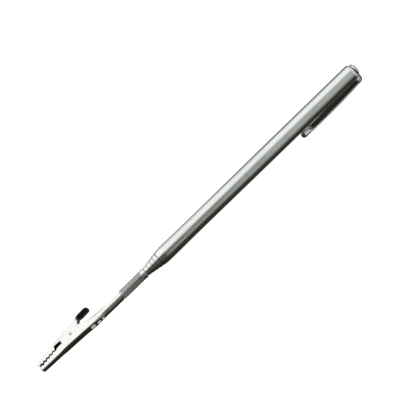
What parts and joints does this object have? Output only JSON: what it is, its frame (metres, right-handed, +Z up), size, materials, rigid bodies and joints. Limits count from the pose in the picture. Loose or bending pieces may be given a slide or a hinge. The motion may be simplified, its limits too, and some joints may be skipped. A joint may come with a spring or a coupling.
{
  "type": "telescoping reacher grabber",
  "caption": "Pocket-sized telescoping reacher grabber: nested chrome tubes slide out of a pen-like barrel, with a sprung alligator clip at the tip and a pocket clip at the other end.",
  "frame": {"origin": "centre of the bounding box in X and Y, at the lowest point (the tool lies on its side on a table)", "axes": "+X along the tool from the jaw tips to the end button; +Z up, square to the table; +Y across"},
  "size_m": [0.2002, 0.0156, 0.0111],
  "materials": {
    "barrel_chrome": "polished chrome plate",
    "button_chrome": "polished chrome plate",
    "tube_chrome": "polished chrome plate",
    "collar_chrome": "bright chrome plate over a straight knurl",
    "clip_nickel": "bright nickel plate",
    "jaw_nickel": "bright nickel plate",
    "pin_steel": "plated steel rivet",
    "spring_steel": "drawn spring wire",
    "leaf_brass": "plain sheet",
    "brass": "turned"
  },
  "bodies": {
    "handle": {"handle_barrel": "barrel_chrome", "end_bush": "brass", "end_button": "button_chrome", "pocket_clip_collar": "clip_nickel"},
    "pocket_clip": {"pocket_clip_arm": "clip_nickel"},
    "tube_1": {"telescope_tube_1": "tube_chrome", "friction_leaf_1a": "leaf_brass", "friction_leaf_1b": "leaf_brass"},
    "tube_2": {"telescope_tube_2": "tube_chrome", "friction_leaf_2a": "leaf_brass", "friction_leaf_2b": "leaf_brass"},
    "tube_3": {"telescope_tube_3": "tube_chrome", "friction_leaf_3a": "leaf_brass", "friction_leaf_3b": "leaf_brass"},
    "tube_4": {"telescope_tube_4": "tube_chrome", "friction_leaf_4a": "leaf_brass", "friction_leaf_4b": "leaf_brass"},
    "rod": {"telescope_rod": "tube_chrome", "friction_leaf_5a": "leaf_brass", "friction_leaf_5b": "leaf_brass"},
    "head": {"knurled_collar": "collar_chrome", "fixed_jaw": "jaw_nickel", "jaw_pivot_pin": "pin_steel", "jaw_spring": "spring_steel"},
    "lever": {"moving_jaw": "jaw_nickel"}
  },
  "joints": [
    {"name": "pocket_clip_flex", "type": "hinge", "parent": "handle", "child": "pocket_clip", "pos_m": [0.0965, -0.0053, 0.00388], "axis": [0, -0.5736, 0.8192], "range_deg": [0, 6], "stiffness_Nm_per_rad": 1.1, "springref_deg": -1.72},
    {"name": "tube_1_slide", "type": "slide", "parent": "handle", "child": "tube_1", "axis": [-1, 0, 0], "range_m": [0, 0.1036]},
    {"name": "tube_2_slide", "type": "slide", "parent": "tube_1", "child": "tube_2", "axis": [-1, 0, 0], "range_m": [0, 0.0989]},
    {"name": "tube_3_slide", "type": "slide", "parent": "tube_2", "child": "tube_3", "axis": [-1, 0, 0], "range_m": [0, 0.0928]},
    {"name": "tube_4_slide", "type": "slide", "parent": "tube_3", "child": "tube_4", "axis": [-1, 0, 0], "range_m": [0, 0.0867]},
    {"name": "rod_slide", "type": "slide", "parent": "tube_4", "child": "rod", "axis": [-1, 0, 0], "range_m": [0, 0.0806]},
    {"name": "head_swivel", "type": "hinge", "parent": "rod", "child": "head", "pos_m": [-0.04235, -0.00078, 0.00705], "axis": [1, 0, 0], "continuous": true},
    {"name": "jaw_pivot", "type": "hinge", "parent": "head", "child": "lever", "pos_m": [-0.07915, 0.00188, 0.00526], "axis": [0, -0.5592, -0.829], "range_deg": [0, 20], "stiffness_Nm_per_rad": 0.016, "springref_deg": -143.24, "deforming": ["jaw_spring"]}
  ]
}
